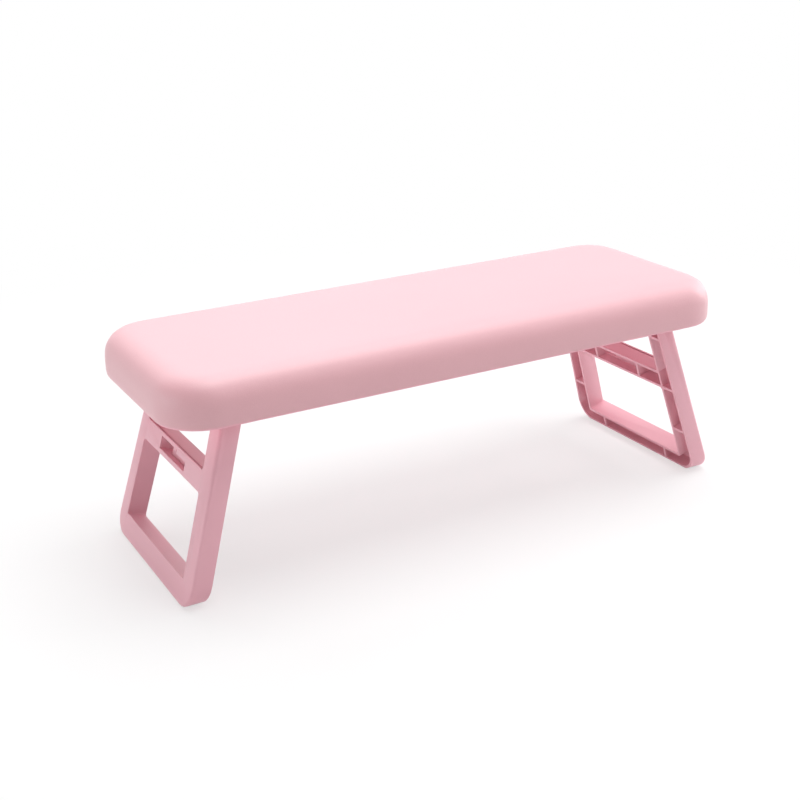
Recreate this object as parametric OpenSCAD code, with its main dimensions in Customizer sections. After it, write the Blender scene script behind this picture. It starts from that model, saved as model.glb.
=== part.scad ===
// Folding hand rest for manicures. A padded top sits on a moulded base tray, and two
// moulded frame legs swing on steel pins and fold flat into wells under the tray.
// X runs along the pad, Y across it and Z up from the table.

/* [Pad] */
// Length of the pad
pad_l = 278; // [250:1:320]
// Width of the pad
pad_w = 102; // [96:1:130]
// Thickness of the pad, with its tray
pad_t = 24; // [22:0.5:30]
// Height of the pad's top above the table
rest_h = 100; // [92:1:130]
// Radius of the pad's corners, seen from above
pad_corner_r = 21; // [17:0.5:28]
// How far in from the side the soft roll of the top edge reaches
roll_in = 11.5; // [9:0.5:15]
// How far down the side the roll of the top edge reaches
roll_down = 12; // [9:0.2:13.4]
// Rise of the crown between the rolled edges
crown_h = 0.3; // [0.2:0.1:1.5]
// How far in the cover tucks at its bottom edge
tuck_in = 0.7; // [0.5:0.1:2]
// Height over which the cover tucks in
tuck_up = 1.4; // [1:0.2:4.4]
// Thickness of the cover
cover_t = 1; // [0.7:0.1:1.3]
// Width of the cover's turned-in hem
hem_w = 0.4; // [0.3:0.1:0.6]
// Thickness of the cushion board
board_t = 3.5; // [2.5:0.1:5]
// How far the cushion board stays inside the pad's outline
board_inset = 6; // [4:0.5:10]

/* [Tray] */
// Height of the tray's visible rim
rim_h = 1; // [0.8:0.1:1.4]
// How far the rim stays inside the pad's outline
rim_inset = 0.7; // [0.5:0.1:1.5]
// Radius of the rim's lower edge
rim_round = 0.6; // [0.3:0.1:0.7]
// Depth of the tray's sloping belly below its rim
belly_h = 3.2; // [2:0.1:3.6]
// How far in from the pad's side the belly slopes
belly_in = 11; // [9:0.5:12]
// Thickness of the tray's floor
tray_floor_t = 1.8; // [1.4:0.1:2.4]
// Thickness of the tray's side wall
tray_wall_t = 2.2; // [1.8:0.1:2.4]
// Thickness of the walls round the leg wells
well_wall_t = 1.4; // [1:0.1:1.8]
// Thickness of the roof over the leg wells
well_roof_t = 1.6; // [1.2:0.1:2.2]
// Thickness of the tray's stiffening ribs
tray_rib_t = 1.2; // [0.9:0.1:1.8]

/* [Legs] */
// Angle at which the open legs splay outwards
splay = 16.7; // [12:0.5:20]
// Thickness of a leg
leg_t = 8.9; // [8:0.1:9.6]
// Distance of the hinge axis from the pad's end
hinge_inset = 29.5; // [27:0.5:36]
// How far a foot stays inside the pad's side
foot_inset = 3.3; // [3.2:0.1:6]
// How far a leg's hinge end stays inside the pad's side
hinge_side_inset = 10.3; // [10:0.1:14]
// Width of an upright at the table
foot_upright_w = 10.3; // [9:0.5:13]
// Width of an upright at the hinge
hinge_upright_w = 8.8; // [7:0.1:10]
// Radius of the foot's corners
foot_corner_r = 9.5; // [6:0.5:11]
// Height of the foot bar, up the leg's outer face
foot_bar_h = 11.6; // [11:0.1:16]
// Lean of the foot bar's top face towards the inner side
foot_bar_draft = 1.1; // [0.4:0.1:1.6]
// Distance of the crossbar's lower edge up the leg
cross_v = 49; // [42:0.2:52]
// Height of the crossbar
cross_h = 9.4; // [9.3:0.1:12]
// Thickness of the leg's outer skin
leg_skin_t = 2; // [1.6:0.1:2.4]
// Thickness of the rails along the channel
rail_t = 1.3; // [1:0.1:1.6]
// Thickness of the ribs across the channel
leg_rib_t = 1.4; // [1:0.1:1.8]
// Distance of the lower rib up the leg
rib_low_v = 26.2; // [22:0.2:32]
// Distance of the upper rib up the leg
rib_high_v = 77.8; // [72:0.2:78.4]
// Distance of the crossbar's ribs from the middle
cross_rib_y = 17; // [16.4:0.1:22]
// Distance of the foot bar's ribs from the middle
foot_rib_y = 25; // [18:0.5:30]
// Radius of the edges round the outer face
face_round = 1.6; // [0.8:0.1:2]
// Radius of the windows' corners
window_r = 1.5; // [0.8:0.1:3]

/* [Crossbar pocket] */
// Width of the finger pocket
pocket_w = 30; // [26:0.5:31]
// Height of the finger pocket
pocket_h = 5.7; // [5:0.1:6]
// Distance of the pocket's lower edge above the crossbar's
pocket_up = 2; // [1.8:0.1:2.2]
// Depth of the finger pocket
pocket_d = 3; // [2.4:0.1:3.6]
// Thickness of the wall behind the pocket
pocket_wall_t = 1.2; // [0.9:0.1:1.6]
// Drop of the pocket's upper edge beyond the step
pocket_step = 1.6; // [0.8:0.1:2]
// Width of the catch window at the pocket's end
catch_window_w = 8; // [7:0.1:9]
// Width of the small nub under the pocket's upper edge
nub_w = 2.6; // [1.6:0.1:3]
// Height of the nub
nub_h = 0.9; // [0.5:0.1:1.2]
// Thickness of the catch strip along the crossbar's outer top edge
strip_t = 0.8; // [0.6:0.1:1]
// Width of the slot behind the catch strip
strip_slot_w = 0.7; // [0.5:0.1:0.9]

/* [Hinges and screws] */
// Diameter of a hinge pin
pin_d = 3; // [2.5:0.1:3.5]
// Diameter of a pin's head
pin_head_d = 5.4; // [4.6:0.1:6.4]
// Thickness of a pin's head
pin_head_t = 1.2; // [0.8:0.1:1.6]
// Depth of a pin in the tray's side boss
pin_seat = 4.5; // [3:0.1:5.5]
// Thickness of a hinge lug
lug_t = 2.4; // [1.8:0.1:3.2]
// Thickness of the catch post along the pad
post_t = 2.4; // [1.8:0.1:2.6]
// Width of the catch post across the pad
post_w = 5; // [4:0.1:5.8]
// Diameter of a screw's shank
screw_d = 2.8; // [2.4:0.1:3.4]
// Diameter of a screw's head
screw_head_d = 5.4; // [4.8:0.1:6]
// Thickness of a screw's head
screw_head_t = 1.7; // [1.3:0.1:2.1]
// Distance of the end screws from the pad's end
end_screw_inset = 15.5; // [15:0.5:17]
// Distance of the end screws from the middle line
end_screw_y = 30; // [26:0.5:34]
// Distance of the middle screws from the middle line
mid_screw_y = 34; // [28:0.5:38]

/* [Clearances] */
// Radial clearance of a pin in the leg
running_gap = 0.05; // [0.03:0.01:0.08]
// Radial clearance of a pin or a screw in what holds it
seat_gap = 0.02; // [0.01:0.01:0.03]
// Gap beside a leg in its well
side_gap = 0.45; // [0.4:0.05:0.6]
// Gap between an open leg and its stop wall
stop_gap = 0.3; // [0.2:0.05:0.4]
// Gap between a folded leg and the well's roof
roof_gap = 0.5; // [0.4:0.1:0.8]
// How far a folded leg lies inside the tray's underside
flush_gap = 0.4; // [0.3:0.1:0.6]
// Gap of a glue line between layers of the pad
glue_gap = 0.1; // [0.05:0.05:0.15]

/* [Hidden] */
// Overrun of every cut past the face that it opens
over = 1;
$fn = 48;

// Heights above the table
tray_z = rest_h - pad_t;
hinge_z = tray_z + flush_gap + leg_t / 2;
well_top = hinge_z + leg_t / 2 + roof_gap;
tray_top = well_top + well_roof_t;
board_z = tray_top + glue_gap;
rim_z = tray_z + belly_h;
cover_z = rim_z + rim_h + glue_gap;
side_top = rest_h - crown_h - roll_down;

// Places along and across the pad
hinge_x = pad_l / 2 - hinge_inset;
tray_inset = cover_t + glue_gap;
hem_inset = max(tuck_in + hem_w, cover_t);
neck_inset = hem_inset + glue_gap;
foam_inset = cover_t + glue_gap;
pad_half_w = pad_w / 2;

// A leg is measured from its outer face's lower edge, v up the leg, and from its middle line
leg_len = (hinge_z + leg_t / 2 * sin(splay)) / cos(splay);
foot_half_w = pad_half_w - foot_inset;
hinge_half_w = pad_half_w - hinge_side_inset;
function half_w(v) = foot_half_w + (hinge_half_w - foot_half_w) * v / leg_len;
function upright_w(v) = foot_upright_w + (hinge_upright_w - foot_upright_w) * v / leg_len;
function window_half_w(v) = half_w(v) - upright_w(v);

// Where an open leg leaves the tray, and the boss left solid round its pin
leg_exit_v = leg_len - (hinge_z - tray_z) / cos(splay);
head_r = leg_t / 2;
boss_r = leg_t * 0.42;
cross_top = cross_v + cross_h;
outer_x = leg_t / 2;
inner_x = -leg_t / 2;

// Hinge parts on each side of an upright
lug_outer_y = window_half_w(leg_len + head_r) - stop_gap;
lug_inner_y = lug_outer_y - lug_t;
well_side_y = half_w(leg_exit_v) + side_gap;
pin_end_y = well_side_y + pin_seat;
lug_r = head_r - stop_gap;

// Catch window, measured on the leg, and the post that goes through it when the leg is folded
pocket_v = cross_v + pocket_up;
catch_y = pocket_w / 2 - catch_window_w / 2;
catch_v = pocket_v + pocket_h / 2;

pad_colour = "#f3c9cf";
foam_colour = "#f2e6c4";
board_colour = "#c9a77c";
leg_colour = "#e9a9b6";
tray_colour = "#ecb2bd";
steel_colour = "#b9bcc0";

// Outline with a rounded corner at each [x, y, radius], listed anticlockwise
function turn_angle(from, to) = atan2(cross2(from, to), from * to);
function cross2(a, b) = a[0] * b[1] - a[1] * b[0];
function unit2(a) = a / norm(a);
function spot(corner) = [corner[0], corner[1]];
function corner_arc(before, here, after, steps) =
    let (
        into = unit2(spot(here) - spot(before)),
        out = unit2(spot(after) - spot(here)),
        turn = turn_angle(into, out),
        start = spot(here) - into * here[2] * tan(abs(turn) / 2),
        centre = start + [-into[1], into[0]] * here[2] * sign(turn),
        start_angle = atan2(start[1] - centre[1], start[0] - centre[0])
    )
    [for (k = [0:steps]) centre + here[2] * [
        cos(start_angle + turn * k / steps),
        sin(start_angle + turn * k / steps)
    ]];
function rounded(corners, steps = 6) =
    let (n = len(corners))
    [for (i = [0:n - 1])
        each corner_arc(corners[(i + n - 1) % n], corners[i], corners[(i + 1) % n], steps)];

// Solid through a stack of outlines, each given as a list of points in space
module loft(rings) {
    n = len(rings[0]);
    m = len(rings);
    polyhedron(
        points = [for (ring = rings) each ring],
        faces = [
            [for (i = [0:n - 1]) i],
            for (k = [0:m - 2]) for (i = [0:n - 1])
                [k * n + i, (k + 1) * n + (i + 1) % n, k * n + (i + 1) % n],
            for (k = [0:m - 2]) for (i = [0:n - 1])
                [k * n + i, (k + 1) * n + i, (k + 1) * n + (i + 1) % n],
            [for (i = [n - 1:-1:0]) (m - 1) * n + i]
        ]
    );
}

// The pad's outline, drawn in by an inset
least_r = pad_corner_r * 0.03;
function pad_outline(inset, steps = 8) =
    let (
        a = pad_l / 2 - inset,
        b = pad_half_w - inset,
        r = max(pad_corner_r - inset, least_r)
    )
    rounded([[a, -b, r], [a, b, r], [-a, b, r], [-a, -b, r]], steps);
function pad_ring(place) = [for (p = pad_outline(place[0])) [p[0], p[1], place[1]]];

// Section of the cushion as [inset, height]: tuck, side, roll of the top edge and crown
roll_steps = 8;
tuck_steps = 4;
crown_shares = [0.12, 0.3, 0.55, 0.85, 0.98];
function tuck_section() = [for (k = [0:tuck_steps]) let (a = 90 * k / tuck_steps)
    [tuck_in * (1 - sin(a)), cover_z + tuck_up * (1 - cos(a))]];
function roll_section(skin) = [for (k = [0:roll_steps]) let (a = 90 * k / roll_steps)
    [skin + (roll_in - skin) * (1 - cos(a)), side_top + (roll_down - skin) * sin(a)]];
function crown_section(skin) = [for (share = crown_shares)
    [roll_in + (pad_half_w - roll_in) * share,
     side_top + roll_down - skin + crown_h * (1 - pow(1 - share, 2))]];

// A prism along X or Y from an outline drawn in the plane across it
module along_x(from, to) {
    translate([from, 0, 0])
        rotate([90, 0, 90])
            linear_extrude(to - from)
                children();
}
module along_y(width) {
    rotate([90, 0, 0])
        linear_extrude(width, center = true)
            children();
}
module slab(inset, from, to) {
    translate([0, 0, from])
        linear_extrude(to - from)
            polygon(pad_outline(inset));
}

module cushion_cover() {
    color(pad_colour)
        difference() {
            loft([for (place = concat(tuck_section(), roll_section(0), crown_section(0)))
                pad_ring(place)]);
            loft([for (place = concat(
                [[cover_t, cover_z + cover_t]], roll_section(cover_t), crown_section(cover_t)))
                pad_ring(place)]);
            slab(hem_inset, cover_z - over, cover_z + cover_t + over);
        }
}

module foam_core() {
    color(foam_colour)
        difference() {
            loft([for (place = concat(
                [[foam_inset, board_z]], roll_section(foam_inset), crown_section(foam_inset)))
                if (place[1] >= board_z) pad_ring(place)]);
            slab(board_inset - glue_gap, board_z - over, board_z + board_t + glue_gap);
        }
}

screw_places = [
    [-pad_l / 2 + end_screw_inset, -end_screw_y], [-pad_l / 2 + end_screw_inset, end_screw_y],
    [0, -mid_screw_y], [0, mid_screw_y],
    [pad_l / 2 - end_screw_inset, -end_screw_y], [pad_l / 2 - end_screw_inset, end_screw_y]
];
screw_sink = screw_head_t + flush_gap;
screw_tip_z = board_z + board_t * 0.8;

module cushion_board() {
    color(board_colour)
        difference() {
            slab(board_inset, board_z, board_z + board_t);
            for (place = screw_places)
                translate([place[0], place[1], board_z - over])
                    cylinder(r = screw_d / 2 + seat_gap, h = board_t + 2 * over);
        }
}

module tray_screws() {
    slot_w = screw_head_d * 0.17;
    color(steel_colour)
        for (place = screw_places)
            translate([place[0], place[1], tray_z + flush_gap])
                difference() {
                    union() {
                        cylinder(r = screw_head_d / 2, h = screw_head_t - seat_gap);
                        cylinder(r = screw_d / 2, h = screw_tip_z - tray_z - flush_gap);
                    }
                    for (angle = [0, 90])
                        rotate([0, 0, angle])
                            translate([-screw_head_d * 0.3, -slot_w / 2, -over])
                                cube([screw_head_d * 0.6, slot_w, over + screw_head_t * 0.45]);
                }
}

// Plan of a folded leg's well, for the right end, widened by a wall
module well_plan(wall) {
    foot_x = hinge_x - leg_len - side_gap - wall;
    neck_x = hinge_x - (leg_len - leg_exit_v);
    end_x = hinge_x + leg_t;
    foot_y = foot_half_w + side_gap + wall;
    r = foot_corner_r + wall;
    side_y = well_side_y + wall;
    polygon(rounded([
        [end_x, -side_y, well_wall_t], [end_x, side_y, well_wall_t],
        [neck_x, side_y, well_wall_t], [foot_x, foot_y, r],
        [foot_x, -foot_y, r], [neck_x, -side_y, well_wall_t]
    ]));
}

// Side view of the well: open below, with the slanted wall that stops the open leg
module well_side(wall, low) {
    top = well_top + wall;
    stop_x = hinge_x + (leg_t / 2 + stop_gap + wall) / cos(splay);
    polygon([
        [hinge_x - leg_len - pad_half_w, low],
        [stop_x - (low - hinge_z) * tan(splay), low],
        [stop_x - (top - hinge_z) * tan(splay), top],
        [hinge_x - leg_len - pad_half_w, top]
    ]);
}

module well(wall, low) {
    intersection() {
        translate([0, 0, tray_z - 2 * over])
            linear_extrude(pad_t)
                well_plan(wall);
        along_y(pad_w)
            well_side(wall, low);
    }
}

module both_ends() {
    children();
    mirror([1, 0, 0]) children();
}

// Block beside the well that takes the pin's outer end
module side_bosses() {
    for (side = [-1, 1])
        translate([hinge_x - lug_r, side < 0 ? -pad_half_w + neck_inset : well_side_y, tray_z])
            cube([2 * lug_r, pad_half_w - neck_inset - well_side_y, tray_top - tray_z]);
}

// Lug that hangs from the well's roof on the inner side of each upright
module hinge_lugs() {
    for (side = [-1, 1])
        translate([hinge_x, side * (lug_inner_y + lug_t / 2), hinge_z]) {
            rotate([90, 0, 0])
                cylinder(r = lug_r, h = lug_t, center = true);
            translate([-lug_r, -lug_t / 2, 0])
                cube([2 * lug_r, lug_t, well_top - hinge_z + well_roof_t / 2]);
        }
}

// Post that goes through the crossbar's window when the leg is folded
module catch_post() {
    post_x = hinge_x - (leg_len - catch_v);
    post_low = hinge_z - leg_t / 2 + pocket_d * 0.6;
    tip_r = post_t / 2;
    translate([post_x, catch_y, 0]) {
        translate([-post_t / 2, -post_w / 2, post_low + tip_r])
            cube([post_t, post_w, well_top + well_roof_t / 2 - post_low - tip_r]);
        translate([0, 0, post_low + tip_r])
            rotate([90, 0, 0])
                cylinder(r = tip_r, h = post_w, center = true);
    }
}

module screw_boss(place) {
    translate([place[0], place[1], tray_z])
        cylinder(r = screw_head_d / 2 + well_wall_t, h = tray_top - tray_z);
}

module tray_ribs() {
    high = tray_top - well_roof_t;
    for (y = [-end_screw_y, 0, end_screw_y])
        translate([-pad_l / 2 + neck_inset + tray_wall_t / 2, y - tray_rib_t / 2, tray_z])
            cube([pad_l - 2 * neck_inset - tray_wall_t, tray_rib_t, high - tray_z]);
    for (x = [-pad_l / 2 + end_screw_inset, 0, pad_l / 2 - end_screw_inset])
        translate([x - tray_rib_t / 2, -pad_half_w + neck_inset + tray_wall_t / 2, tray_z])
            cube([tray_rib_t, pad_w - 2 * neck_inset - tray_wall_t, high - tray_z]);
}

// Form that keeps what stands inside the tray within its belly and its neck
module tray_inside() {
    loft([for (place = [[belly_in, tray_z], [neck_inset, rim_z], [neck_inset, tray_top]])
        pad_ring(place)]);
}

module tray_shell() {
    difference() {
        union() {
            loft([for (place = [
                [belly_in, tray_z],
                [rim_inset + rim_round, rim_z],
                [rim_inset + rim_round * 0.3, rim_z + rim_round * 0.3],
                [rim_inset, rim_z + rim_round],
                [rim_inset, rim_z + rim_h]
            ]) pad_ring(place)]);
            slab(neck_inset, rim_z + rim_round, cover_z + cover_t + glue_gap);
            slab(tray_inset, cover_z + cover_t + glue_gap, tray_top);
        }
        loft([for (place = [
            [belly_in, tray_z + tray_floor_t],
            [tray_inset + tray_wall_t, rim_z + tray_floor_t],
            [tray_inset + tray_wall_t, tray_top + over]
        ]) pad_ring(place)]);
    }
}

module base_tray() {
    color(tray_colour)
        difference() {
            union() {
                difference() {
                    union() {
                        tray_shell();
                        intersection() {
                            tray_inside();
                            union() {
                                both_ends() {
                                    well(well_wall_t, tray_z);
                                    side_bosses();
                                }
                                tray_ribs();
                                for (place = screw_places) screw_boss(place);
                            }
                        }
                    }
                    both_ends()
                        well(0, tray_z - over);
                }
                both_ends() {
                    hinge_lugs();
                    catch_post();
                }
            }
            for (place = screw_places)
                translate([place[0], place[1], tray_z - over]) {
                    cylinder(r = screw_d / 2 + seat_gap, h = pad_t);
                    cylinder(r = screw_head_d / 2 + side_gap / 2, h = over + screw_sink);
                }
            both_ends()
                for (side = [-1, 1])
                    translate([hinge_x, side * (lug_inner_y - over), hinge_z])
                        rotate([side < 0 ? 90 : -90, 0, 0])
                            cylinder(r = pin_d / 2 + seat_gap, h = pin_end_y - lug_inner_y + over + seat_gap);
        }
}

// The leg below is drawn for the right end with its hinge axis at the origin:
// X points to the outer face, Y across the pad and Z up the leg.
function leg_point(y, v) = [y, v - leg_len];

// Height of the table in the leg's own frame, where the foot is cut level with it
function ground_z(x) = -(hinge_z + x * sin(splay)) / cos(splay);

// Outline of the leg's front at one depth, drawn in by an inset. It stands on the table.
leg_top_v = leg_len + head_r;
function leg_outline(inset, x = outer_x) =
    let (low = ground_z(x), low_half_w = half_w(leg_len + low) - inset)
    rounded([
        [low_half_w, low + inset, foot_corner_r - inset],
        [half_w(leg_top_v) - inset, head_r + over - inset, least_r],
        [-half_w(leg_top_v) + inset, head_r + over - inset, least_r],
        [-low_half_w, low + inset, foot_corner_r - inset]
    ], 8);

// Outer form of the leg, with round edges at the outer face
face_steps = 4;
module leg_form() {
    loft(concat(
        [[for (p = leg_outline(0, inner_x)) [inner_x, p[0], p[1]]]],
        [for (k = [0:face_steps]) let (
            a = 90 * k / face_steps,
            inset = face_round * (1 - cos(a)),
            x = outer_x - face_round * (1 - sin(a))
        ) [for (p = leg_outline(inset, x)) [x, p[0], p[1]]]]
    ));
}

// Side view of the leg: a round head about the pin and a foot with rounded edges
foot_round = 1;
module leg_side() {
    polygon(rounded([
        [inner_x, 0, least_r], [inner_x, ground_z(inner_x), foot_round],
        [outer_x, ground_z(outer_x), foot_round], [outer_x, 0, least_r]
    ]));
    circle(r = head_r);
}

// Four-sided opening between the uprights, from one height up the leg to another
module window_outline(low, high, grow, r) {
    polygon(rounded([
        [window_half_w(low) + grow, low - grow - leg_len, r],
        [window_half_w(high) + grow, high + grow - leg_len, r],
        [-window_half_w(high) - grow, high + grow - leg_len, r],
        [-window_half_w(low) - grow, low - grow - leg_len, r]
    ], 4));
}

// The windows' cut through the leg. The foot bar's top face leans to the inner side.
module window_cuts() {
    intersection() {
        along_x(inner_x - over, outer_x + over)
            window_outline(foot_bar_h - foot_bar_draft, cross_v, 0, window_r);
        along_y(pad_w)
            polygon([
                [outer_x + over, foot_bar_h - leg_len],
                [outer_x + over, cross_v + over - leg_len],
                [inner_x - over, cross_v + over - leg_len],
                [inner_x - over, foot_bar_h - foot_bar_draft - leg_len],
                [outer_x, foot_bar_h - leg_len]
            ]);
    }
    along_x(inner_x - over, outer_x + over)
        window_outline(cross_top, leg_top_v + 2 * over, 0, window_r);
}

// Channel in the leg's inner side, between its rails, less its ribs
module channel_outline() {
    difference() {
        intersection() {
            polygon(leg_outline(rail_t, inner_x));
            translate([-pad_half_w, -leg_len])
                square([pad_w, leg_len - boss_r]);
        }
        window_outline(foot_bar_h - foot_bar_draft, cross_v, rail_t, window_r);
        window_outline(cross_top, leg_top_v, rail_t, window_r);
        for (v = [rib_low_v, cross_v + rail_t / 2, rib_high_v])
            for (side = [-1, 1])
                translate([side * half_w(v) - foot_upright_w, v - leg_rib_t / 2 - leg_len])
                    square([2 * foot_upright_w, leg_rib_t]);
        for (side = [-1, 1]) {
            translate([side * cross_rib_y - leg_rib_t / 2, cross_v - leg_len])
                square([leg_rib_t, cross_h]);
            translate([side * foot_rib_y - leg_rib_t / 2, -leg_len])
                square([leg_rib_t, foot_bar_h]);
            polygon([
                leg_point(side * window_half_w(cross_v), cross_v),
                leg_point(side * (window_half_w(cross_v) + rail_t), cross_v),
                leg_point(side * (window_half_w(cross_top) + rail_t), cross_top),
                leg_point(side * window_half_w(cross_top), cross_top)
            ]);
        }
    }
}

// Outline of the finger pocket: its upper edge drops beyond the step, beside a small nub
module pocket_outline() {
    low = pocket_v - leg_len;
    high = low + pocket_h;
    step_y = -pocket_w * 0.13;
    difference() {
        polygon([
            [pocket_w / 2, low], [pocket_w / 2, high], [step_y, high],
            [step_y, high - pocket_step], [-pocket_w / 2, high - pocket_step], [-pocket_w / 2, low]
        ]);
        translate([step_y + nub_w * 0.3, high - nub_h])
            square([nub_w, nub_h + over]);
    }
}

module catch_window() {
    translate([catch_y - catch_window_w / 2, pocket_v - leg_len])
        square([catch_window_w, pocket_h]);
}

// Slot behind the thin strip that carries the nub, open at the top into the pocket
module strip_slot() {
    half = window_half_w(cross_top) - window_r;
    slot_v = pocket_v + pocket_h;
    translate([outer_x - strip_t - strip_slot_w, -half, slot_v - leg_len])
        cube([strip_slot_w, 2 * half, cross_top - slot_v + over]);
}

module leg() {
    back_x = outer_x - pocket_d - pocket_wall_t;
    difference() {
        union() {
            difference() {
                intersection() {
                    leg_form();
                    along_y(pad_w) leg_side();
                }
                along_x(inner_x - over, outer_x - leg_skin_t)
                    channel_outline();
            }
            along_x(back_x, outer_x - leg_skin_t / 2)
                translate([-cross_rib_y, cross_v + rail_t / 2 - leg_len])
                    square([2 * cross_rib_y, cross_h - rail_t]);
        }
        window_cuts();
        along_x(outer_x - pocket_d, outer_x + over)
            pocket_outline();
        along_x(inner_x - over, outer_x + over)
            catch_window();
        strip_slot();
        rotate([90, 0, 0])
            cylinder(r = pin_d / 2 + running_gap, h = pad_w, center = true);
    }
}

module placed_leg() {
    color(leg_colour)
        translate([hinge_x, 0, hinge_z])
            rotate([0, -splay, 0])
                leg();
}
module right_leg() { placed_leg(); }
module left_leg() { mirror([1, 0, 0]) placed_leg(); }

// Pin with its head against the lug's inner face
module hinge_pin(side) {
    color(steel_colour)
        translate([hinge_x, side * lug_inner_y, hinge_z])
            rotate([side < 0 ? 90 : -90, 0, 0]) {
                cylinder(r = pin_d / 2, h = pin_end_y - lug_inner_y);
                translate([0, 0, -pin_head_t])
                    cylinder(r = pin_head_d / 2, h = pin_head_t);
            }
}
module right_front_hinge_pin() { hinge_pin(-1); }
module right_rear_hinge_pin() { hinge_pin(1); }
module left_front_hinge_pin() { mirror([1, 0, 0]) hinge_pin(-1); }
module left_rear_hinge_pin() { mirror([1, 0, 0]) hinge_pin(1); }

cushion_cover();
foam_core();
cushion_board();
base_tray();
tray_screws();
left_leg();
right_leg();
left_front_hinge_pin();
left_rear_hinge_pin();
right_front_hinge_pin();
right_rear_hinge_pin();
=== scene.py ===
import math

import bmesh
import bpy
from mathutils import Matrix, Vector


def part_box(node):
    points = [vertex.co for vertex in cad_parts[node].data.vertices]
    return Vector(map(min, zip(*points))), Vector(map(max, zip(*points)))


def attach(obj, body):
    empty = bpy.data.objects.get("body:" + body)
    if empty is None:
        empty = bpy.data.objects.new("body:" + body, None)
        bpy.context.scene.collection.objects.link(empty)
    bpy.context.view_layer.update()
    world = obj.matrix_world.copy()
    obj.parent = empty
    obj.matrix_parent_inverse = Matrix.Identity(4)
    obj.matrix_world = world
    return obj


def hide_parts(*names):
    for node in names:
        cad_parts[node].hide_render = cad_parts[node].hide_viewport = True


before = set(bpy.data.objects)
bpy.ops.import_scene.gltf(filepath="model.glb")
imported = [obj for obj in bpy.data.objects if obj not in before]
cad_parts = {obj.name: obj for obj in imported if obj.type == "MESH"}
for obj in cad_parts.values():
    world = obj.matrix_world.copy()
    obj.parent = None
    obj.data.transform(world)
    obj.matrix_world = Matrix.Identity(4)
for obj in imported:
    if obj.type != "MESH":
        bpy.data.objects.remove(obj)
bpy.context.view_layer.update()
for thing in bpy.context.selected_objects:
    thing.select_set(False)

# The view: from a little above the rest and to the left of its front, with the camera
# turned slightly about its own axis. Angles are in radians, the lens is in millimetres.
eye = Vector((-0.28295, -0.50465, 0.27333))
to_the_right, downwards, tilt = 0.49366, 0.36704, -0.02578
turned = (
    Matrix.Rotation(-to_the_right, 4, "Z")
    @ Matrix.Rotation(math.pi / 2 - downwards, 4, "X")
    @ Matrix.Rotation(tilt, 4, "Z")
)
bpy.ops.object.camera_add(location=eye, rotation=turned.to_euler())
camera = bpy.context.object
camera.name = "camera"
camera.data.sensor_width = 36
camera.data.lens = 59.25
camera.data.clip_start = 0.01
bpy.context.scene.camera = camera
bpy.context.scene.view_settings.view_transform = "Standard"

# The cushion's cover: soft pink leatherette over foam, drawn round the pad's edge and
# stapled to a board underneath, so that it stands full and tight, with no piping.
# Its form is a rounded slab that is filled like a pillow, with its hem held still.
cover_low, cover_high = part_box("cushion_cover")
hem_z, pad_high = cover_low.z, cover_high.z
corner_round, corner_steps = 0.021, 12
roll_in, roll_down, roll_steps = 0.0115, 0.012, 8
crown, fullness = 0.00005, 0.00025
tuck_in, tuck_up = 0.0003, 0.0007
below_hem, voxel = 0.012, 0.004
inflating_frames, air_pressure, evening_passes = 20, 4, 8
leatherette_thick, hem_share, hem_up = 0.001, 0.3, 0.003


def pick(test):
    """Select the edges of the mesh in edit mode that pass a test."""
    bpy.ops.mesh.select_mode(type="EDGE")
    bpy.ops.mesh.select_all(action="DESELECT")
    mesh = bmesh.from_edit_mesh(bpy.context.edit_object.data)
    for edge in [edge for edge in mesh.edges if test(edge)]:
        edge.select_set(True)
    mesh.select_flush_mode()
    bmesh.update_edit_mesh(bpy.context.edit_object.data)


def settle(piece):
    """Put the piece's place into its mesh, so that its object stands at the origin."""
    for other in bpy.context.selected_objects:
        other.select_set(False)
    piece.select_set(True)
    bpy.context.view_layer.objects.active = piece
    bpy.ops.object.transform_apply(location=True, rotation=True, scale=True)


def modify(piece, kind, **settings):
    """Add a modifier to the piece and apply it."""
    modifier = piece.modifiers.new(kind.lower(), kind)
    for setting, value in settings.items():
        setattr(modifier, setting, value)
    bpy.context.view_layer.objects.active = piece
    bpy.ops.object.modifier_apply(modifier=modifier.name)


def cut_level(piece, height, fill):
    """Cut the piece off at a height and take away what lies under it."""
    settle(piece)
    bpy.ops.object.mode_set(mode="EDIT")
    bpy.ops.mesh.select_all(action="SELECT")
    bpy.ops.mesh.bisect(
        plane_co=(0, 0, height), plane_no=(0, 0, 1), clear_inner=True, use_fill=fill
    )
    bpy.ops.object.mode_set(mode="OBJECT")


def upright(edge):
    a, b = (point.co for point in edge.verts)
    return abs(a.z - b.z) > 0.9 * (a - b).length


def on_top(edge):
    return all(point.co.z > pad_high - 1e-5 for point in edge.verts)


def true_form(point):
    """The nearest place on the full pad: upright sides, an elliptic roll, a low crown."""
    straight_x, straight_y = cover_high.x - corner_round, cover_high.y - corner_round
    over = Vector((abs(point.x) - straight_x, abs(point.y) - straight_y))
    if min(over) > 0:
        inset, out = corner_round - over.length, over.normalized()
    else:
        inset = corner_round - max(over)
        out = Vector((1, 0)) if over.x > over.y else Vector((0, 1))
    out = Vector((math.copysign(out.x, point.x), math.copysign(out.y, point.y), 0))
    side_top = pad_high - crown - roll_down
    if point.z < side_top:
        return point + out * inset if inset < roll_in / 2 else point
    if inset < roll_in:
        angle = math.atan2((point.z - side_top) / roll_down, 1 - inset / roll_in)
        moved = point + out * (inset - roll_in * (1 - math.cos(angle)))
        return Vector((moved.x, moved.y, side_top + roll_down * math.sin(angle)))
    inwards = min(1, (inset - roll_in) / (cover_high.y - roll_in))
    rise = crown * (1 - (1 - inwards) ** 2)
    return Vector((point.x, point.y, side_top + roll_down + rise))


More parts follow.
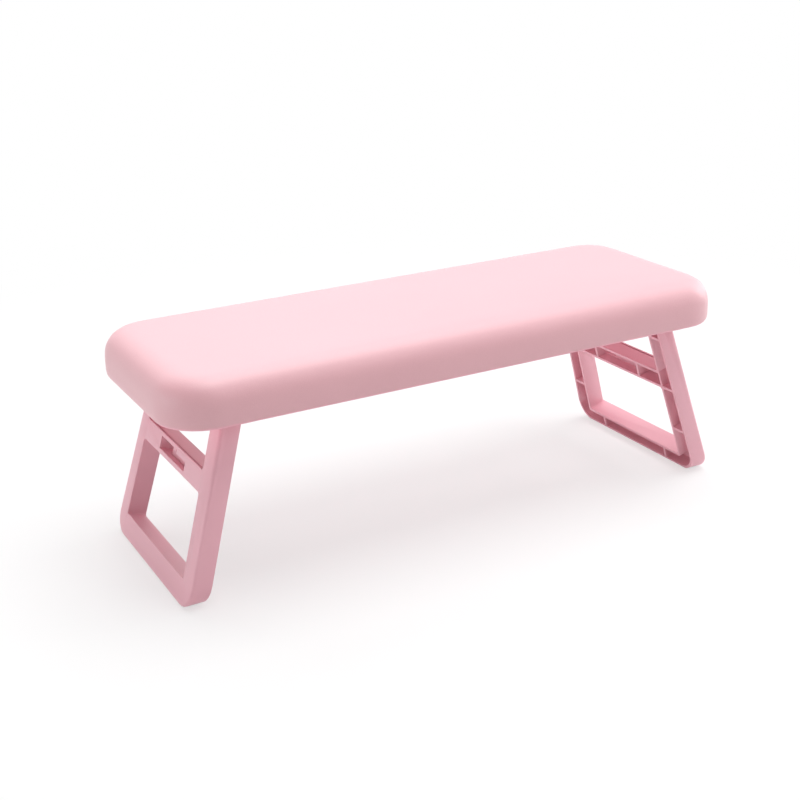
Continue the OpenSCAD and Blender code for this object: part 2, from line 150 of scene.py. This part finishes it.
slab_low = Vector((cover_low.x, cover_low.y, hem_z - below_hem))
bpy.ops.mesh.primitive_cube_add(size=1, location=(slab_low + cover_high) / 2)
cushion = bpy.context.object
cushion.name = "cushion"
cushion.scale = cover_high - slab_low
settle(cushion)
bpy.ops.object.mode_set(mode="EDIT")
pick(upright)
bpy.ops.mesh.bevel(offset=corner_round, segments=corner_steps, affect="EDGES")
pick(on_top)
bpy.ops.mesh.bevel(offset=roll_in, segments=roll_steps, affect="EDGES")
bpy.ops.object.mode_set(mode="OBJECT")
modify(cushion, "REMESH", mode="VOXEL", voxel_size=voxel, adaptivity=0)
modify(cushion, "SMOOTH", factor=0.5, iterations=3)
for point in cushion.data.vertices:
    point.co = true_form(point.co)

# The filling under the cover's skin swells evenly: what the air moves is smoothed over
# the mesh and then kept down to a share, because the real foam is cut to the pad's size.
rested = [point.co.copy() for point in cushion.data.vertices]
at_hem = [p.index for p in cushion.data.vertices if p.co.z < hem_z + tuck_up]
cushion.vertex_groups.new(name="held").add(at_hem, 1, "REPLACE")
cloth = cushion.modifiers.new("cloth", "CLOTH")
cloth.settings.vertex_group_mass = "held"
cloth.settings.use_pressure = True
cloth.settings.uniform_pressure_force = air_pressure
cloth.settings.effector_weights.gravity = 0
cloth.settings.tension_stiffness = cloth.settings.compression_stiffness = 30
cloth.settings.bending_stiffness = 2
cloth.collision_settings.use_collision = False
cloth.point_cache.frame_start, cloth.point_cache.frame_end = 1, inflating_frames
for moment in range(1, inflating_frames + 1):
    bpy.context.scene.frame_set(moment)
bpy.context.view_layer.objects.active = cushion
bpy.ops.object.modifier_apply(modifier=cloth.name)
bpy.context.scene.frame_set(1)
moves = [p.co - r for p, r in zip(cushion.data.vertices, rested)]
threads = [tuple(edge.vertices) for edge in cushion.data.edges]
for _ in range(evening_passes):
    sums = [move.copy() for move in moves]
    counts = [1] * len(moves)
    for a, b in threads:
        sums[a] += moves[b]
        sums[b] += moves[a]
        counts[a] += 1
        counts[b] += 1
    moves = [total / count for total, count in zip(sums, counts)]
furthest = max(move.length for move in moves)
print("the filling moved the cover by at most", round(furthest * 1000, 2), "mm")
share = min(1, fullness / furthest)
for point, start, move in zip(cushion.data.vertices, rested, moves):
    point.co = start + move * share
cushion.vertex_groups.clear()

modify(cushion, "SUBSURF", levels=1, render_levels=1)
reach_x = max(abs(point.co.x) for point in cushion.data.vertices)
reach_y = max(abs(point.co.y) for point in cushion.data.vertices)
crest = max(point.co.z for point in cushion.data.vertices)
outwards = [Vector((p.normal.x, p.normal.y, 0)) for p in cushion.data.vertices]
for point, out in zip(cushion.data.vertices, outwards):
    x, y, z = point.co
    z = hem_z + (z - hem_z) * (pad_high - hem_z) / (crest - hem_z)
    rise = min(1, max(0, (z - hem_z) / tuck_up))
    tuck = tuck_in * (1 - math.sqrt(max(0, 1 - (1 - rise) ** 2)))
    sized = Vector((x * cover_high.x / reach_x, y * cover_high.y / reach_y, z))
    point.co = sized - out.normalized() * tuck if out.length > 0.3 else sized

foam = cushion.copy()
foam.data = cushion.data.copy()
foam.name = "foam_filling"
bpy.context.collection.objects.link(foam)

cut_level(cushion, hem_z, False)
thin = cushion.vertex_groups.new(name="thin")
for point in cushion.data.vertices:
    up = min(1, (point.co.z - hem_z) / hem_up)
    thin.add([point.index], hem_share + (1 - hem_share) * up, "REPLACE")
modify(
    cushion, "SOLIDIFY", thickness=leatherette_thick, offset=-1,
    vertex_group="thin", thickness_vertex_group=0,
)
cushion.vertex_groups.clear()
bpy.ops.object.shade_smooth_by_angle(angle=math.radians(60))


class Socket:
    """A node's output, whose sums and products with others add Math nodes."""

    def __init__(self, tree, link):
        self.tree, self.link = tree, link

    def maths(self, operation, other):
        node = self.tree.nodes.new("ShaderNodeMath")
        node.operation = operation
        self.tree.links.new(self.link, node.inputs[0])
        if isinstance(other, Socket):
            self.tree.links.new(other.link, node.inputs[1])
        else:
            node.inputs[1].default_value = other
        return Socket(self.tree, node.outputs[0])

    def __add__(self, other):
        return self.maths("ADD", other)

    def __mul__(self, other):
        return self.maths("MULTIPLY", other)

    __radd__, __rmul__ = __add__, __mul__


class Finish:
    """A material: constants go on the shader's sockets, and node adds any other node."""

    def __init__(self, name, **constants):
        self.material = bpy.data.materials.new(name)
        self.material.use_nodes = True
        self.tree = self.material.node_tree
        self.shader = self.tree.nodes["Principled BSDF"]
        self.place = self.node("TexCoord")["Object"]
        for socket, value in constants.items():
            self.shader.inputs[socket.replace("_", " ")].default_value = value

    def node(self, kind, settings=None, **inputs):
        node = self.tree.nodes.new("ShaderNode" + kind)
        for setting, value in (settings or {}).items():
            if setting == "stops":
                for stop, (where, colour) in zip(node.color_ramp.elements, value):
                    stop.position, stop.color = where, (*colour, 1)
            else:
                setattr(node, setting, value)
        for name, value in inputs.items():
            socket = node.inputs[int(name[1:]) if name[1:].isdigit() else name]
            if isinstance(value, Socket):
                self.tree.links.new(value.link, socket)
            else:
                socket.default_value = value
        return {out.name: Socket(self.tree, out) for out in reversed(node.outputs)}

    def feed(self, **inputs):
        for name, value in inputs.items():
            socket = self.shader.inputs[name.replace("_", " ")]
            self.tree.links.new(value.link, socket)


grain_wide, grain_deep, cloud_scale = 0.0008, 0.000015, 26.0
pink_low, pink_high = (0.75, 0.398, 0.442), (0.79, 0.430, 0.472)
leatherette = Finish("leatherette", Coat_Weight=1.0, Coat_Roughness=0.5)
grain = leatherette.node(
    "TexVoronoi", {"feature": "DISTANCE_TO_EDGE"},
    Vector=leatherette.place, Scale=1 / grain_wide,
)["Distance"]
# How high the grain stands: it drives the bump, and it also paints shade into the creases
# between the grain's cells.
grain_rise_and_crease_shade = leatherette.node(
    "MapRange", {"interpolation_type": "SMOOTHSTEP"}, Value=grain, i1=0.0, i2=0.3
)["Result"]
cloud = leatherette.node(
    "TexNoise", Vector=leatherette.place, Scale=cloud_scale, Detail=3.0
)["Fac"]
# The cover's colour is its own faint mottling from the cloud, plus painted shade in the grain's
# creases, where the ramp runs to the darker pink as the grain dips.
leatherette.feed(
    Base_Color=leatherette.node(
        "ValToRGB", {"stops": [(0.25, pink_low), (0.85, pink_high)]},
        Fac=cloud * 0.75 + grain_rise_and_crease_shade * 0.25,
    )["Color"],
    Roughness=cloud * 0.1 + grain_rise_and_crease_shade * -0.04 + 0.5,
    Normal=leatherette.node("Bump", Height=grain_rise_and_crease_shade, Strength=1.0, Distance=grain_deep)["Normal"],
)
cushion.data.materials.clear()
cushion.data.materials.append(leatherette.material)
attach(cushion, "rest")
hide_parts("cushion_cover")

# The foam filling: one slab of open-celled upholstery foam in its natural cream, cut to
# the cover's inside and glued on the board. It lies just under the leatherette.
foam_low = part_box("foam_core")[0].z
under_cover, trimmed = 0.00112, 0.0001
cell_scale, cell_deep = 1400.0, 0.0002
cut_level(foam, foam_low, False)
modify(foam, "DISPLACE", strength=-under_cover, mid_level=0)
cut_level(foam, foam_low + trimmed, True)
bpy.ops.object.shade_smooth_by_angle(angle=math.radians(60))
foam_finish = Finish("foam", Roughness=0.95)
cells = foam_finish.node("TexVoronoi", Vector=foam_finish.place, Scale=cell_scale)["Distance"]
foam_finish.feed(
    Base_Color=foam_finish.node(
        "ValToRGB", {"stops": [(0.1, (0.86, 0.76, 0.48)), (0.8, (0.93, 0.86, 0.62))]},
        Fac=cells,
    )["Color"],
    Normal=foam_finish.node("Bump", Height=cells, Strength=1.0, Distance=cell_deep)["Normal"],
)
foam.data.materials.clear()
foam.data.materials.append(foam_finish.material)
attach(foam, "rest")
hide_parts("foam_core")

# The two legs: open ribbed frames, injection moulded in the pad's pink with a fine spark
# texture. Each hangs on two pins under an end of the pad, splayed outwards.
spark_scale, spark_deep, flow_scale = 3000.0, 0.000008, 22.0


def moulding(node, name, round_by):
    """A welded copy of a moulded solid, shaded smooth, with its corners just broken."""
    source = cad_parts[node]
    piece = source.copy()
    piece.data = source.data.copy()
    piece.name = name
    bpy.context.collection.objects.link(piece)
    settle(piece)
    bpy.ops.object.mode_set(mode="EDIT")
    bpy.ops.mesh.select_all(action="SELECT")
    bpy.ops.mesh.remove_doubles(threshold=1e-6)
    bpy.ops.mesh.dissolve_limited(angle_limit=math.radians(0.5))
    bpy.ops.object.mode_set(mode="OBJECT")
    modify(
        piece, "BEVEL", width=round_by, segments=2, limit_method="ANGLE",
        angle_limit=math.radians(50), use_clamp_overlap=True,
    )
    bpy.ops.object.shade_smooth_by_angle(angle=math.radians(32))
    piece.data.materials.clear()
    piece.data.materials.append(plastic.material)
    return piece


plastic = Finish("moulded_plastic", Roughness=0.4)
sparks = plastic.node("TexNoise", Vector=plastic.place, Scale=spark_scale, Detail=2.0)["Fac"]
flow = plastic.node("TexNoise", Vector=plastic.place, Scale=flow_scale, Detail=3.0)["Fac"]
plastic.feed(
    Base_Color=plastic.node(
        "ValToRGB", {"stops": [(0.3, (0.85, 0.445, 0.515)), (0.7, (0.88, 0.47, 0.54))]},
        Fac=flow,
    )["Color"],
    Roughness=sparks * 0.08 + flow * 0.06 + 0.33,
    Normal=plastic.node("Bump", Height=sparks, Strength=1.0, Distance=spark_deep)["Normal"],
)
for side in ("left", "right"):
    leg = moulding(side + "_leg", side + "_leg_moulding", 0.0003)
    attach(leg, side + "_leg_frame")
    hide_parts(side + "_leg")

# The base tray: the moulded underside in the same pink, with a well for each leg to fold
# into, lugs for the pins and bosses for the screws. It is screwed up under the board.
tray = moulding("base_tray", "tray_moulding", 0.00025)
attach(tray, "rest")
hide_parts("base_tray")

# The cushion board: a stiff sheet of brown fibreboard that lies flat between the foam
# and the tray. The foam is glued to it and the cover's hem is stapled round its edge.
fibreboard = Finish("fibreboard", Roughness=0.85)
pressed_flat = (1, 1, 6)
fibre_scale, fibre_deep = 420.0, 0.00005


def coat(node, finish):
    """Give a solid that stays as it is its finish."""
    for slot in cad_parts[node].material_slots:
        slot.material = finish.material


laid = fibreboard.node("Mapping", Vector=fibreboard.place, Scale=pressed_flat)["Vector"]
fibres = fibreboard.node("TexNoise", Vector=laid, Scale=fibre_scale, Detail=4.0)["Fac"]
fibreboard.feed(
    Base_Color=fibreboard.node(
        "ValToRGB", {"stops": [(0.3, (0.30, 0.19, 0.10)), (0.75, (0.50, 0.36, 0.22))]},
        Fac=fibres,
    )["Color"],
    Normal=fibreboard.node("Bump", Height=fibres, Strength=1.0, Distance=fibre_deep)["Normal"],
)
coat("cushion_board", fibreboard)

# The hinge pins: four headed pins of turned steel, pressed through the tray's lugs, one
# at the top of each upright. The lathe leaves fine rings round each one.
pin_steel = Finish("turned_steel", Metallic=1.0)
ring_scale, ring_deep = (30, 6000, 30), 0.000006
rings = pin_steel.node("Mapping", Vector=pin_steel.place, Scale=ring_scale)["Vector"]
turning = pin_steel.node("TexNoise", Vector=rings, Scale=1.0, Detail=3.0)["Fac"]
pin_steel.feed(
    Base_Color=pin_steel.node(
        "ValToRGB", {"stops": [(0.2, (0.58, 0.58, 0.57)), (0.8, (0.70, 0.70, 0.69))]},
        Fac=turning,
    )["Color"],
    Roughness=turning * 0.2 + 0.2,
    Normal=pin_steel.node("Bump", Height=turning, Strength=1.0, Distance=ring_deep)["Normal"],
)
for side in ("left", "right"):
    for end in ("front", "rear"):
        coat(side + "_" + end + "_hinge_pin", pin_steel)

# The tray's screws: six cross-headed steel screws, bright zinc plated with a faint
# spangle. They hold the tray up to the board from below.
plating = Finish("zinc_plate", Metallic=1.0)
spangle = plating.node("TexVoronoi", Vector=plating.place, Scale=1600.0)["Distance"]
plating.feed(
    Base_Color=plating.node(
        "ValToRGB", {"stops": [(0.1, (0.60, 0.61, 0.62)), (0.7, (0.72, 0.73, 0.75))]},
        Fac=spangle,
    )["Color"],
    Roughness=spangle * 0.15 + 0.25,
)
coat("tray_screws", plating)

# The studio: a white table top, five soft boxes and plain white surroundings. Where the
# camera sees the table it is veiled with white, wholly so further out, so that only a
# pale shadow shows near the rest.
floor_wide, veil_starts, veil_ends, least_veil = 6, 0.22, 0.5, 0.6
aim = Vector((0, 0, 0.06))
softboxes = [
    # name, place, width, height, watts
    ("softbox_above", (0.25, 0, 1.3), 1.0, 1.0, 14.8),
    ("softbox_behind", (0, 0.9, 1.0), 1.2, 0.8, 5.3),
    ("softbox_right", (1.3, 0, 0.5), 0.9, 0.8, 6.5),
    ("softbox_front_right", (0.48, -1.0, 0.9), 0.6, 0.5, 2.9),
    ("softbox_left_low", (-1.3, 0.2, 0.15), 0.9, 0.25, 4.2),
]
world_light, white_background = 0.15, 1


def shown(rays):
    """One where a camera, glossy or transmission ray looks, and nought elsewhere."""
    return rays["Is Camera Ray"] + rays["Is Glossy Ray"] + rays["Is Transmission Ray"]


bpy.ops.mesh.primitive_plane_add(size=floor_wide)
ground = bpy.context.object
ground.name = "studio_floor"
white = Finish("studio_white", Base_Color=(0.9, 0.9, 0.9, 1), Roughness=0.9)
from_middle = white.node("VectorMath", {"operation": "LENGTH"}, i0=white.place)["Value"]
veil = white.node(
    "MapRange", {"interpolation_type": "SMOOTHSTEP"}, Value=from_middle,
    i1=veil_starts, i2=veil_ends, i3=least_veil, i4=1.0,
)["Result"]
table_top = white.node(
    "MixShader", Fac=shown(white.node("LightPath")) * veil,
    i1=Socket(white.tree, white.shader.outputs[0]),
    i2=white.node("Emission", Strength=1.0)["Emission"],
)["Shader"]
white.tree.links.new(table_top.link, white.tree.nodes["Material Output"].inputs["Surface"])
ground.data.materials.append(white.material)

for name, place, width, height, watts in softboxes:
    facing = (aim - Vector(place)).to_track_quat("-Z", "Y")
    bpy.ops.object.light_add(type="AREA", location=place, rotation=facing.to_euler())
    box = bpy.context.object
    box.name = name
    box.data.shape = "RECTANGLE"
    box.data.size, box.data.size_y = width, height
    box.data.energy = watts

world = bpy.context.scene.world or bpy.data.worlds.new("studio")
bpy.context.scene.world = world
world.use_nodes = True
air = world.node_tree
dim = air.nodes["Background"]
bright = air.nodes.new("ShaderNodeBackground")
dim.inputs["Color"].default_value = bright.inputs["Color"].default_value = (1, 1, 1, 1)
dim.inputs["Strength"].default_value = world_light
bright.inputs["Strength"].default_value = white_background
path = air.nodes.new("ShaderNodeLightPath")
blend = air.nodes.new("ShaderNodeMixShader")
air.links.new(shown({out.name: Socket(air, out) for out in path.outputs}).link, blend.inputs[0])
air.links.new(dim.outputs[0], blend.inputs[1])
air.links.new(bright.outputs[0], blend.inputs[2])
air.links.new(blend.outputs[0], air.nodes["World Output"].inputs["Surface"])

for thing in bpy.context.selected_objects:
    thing.select_set(False)
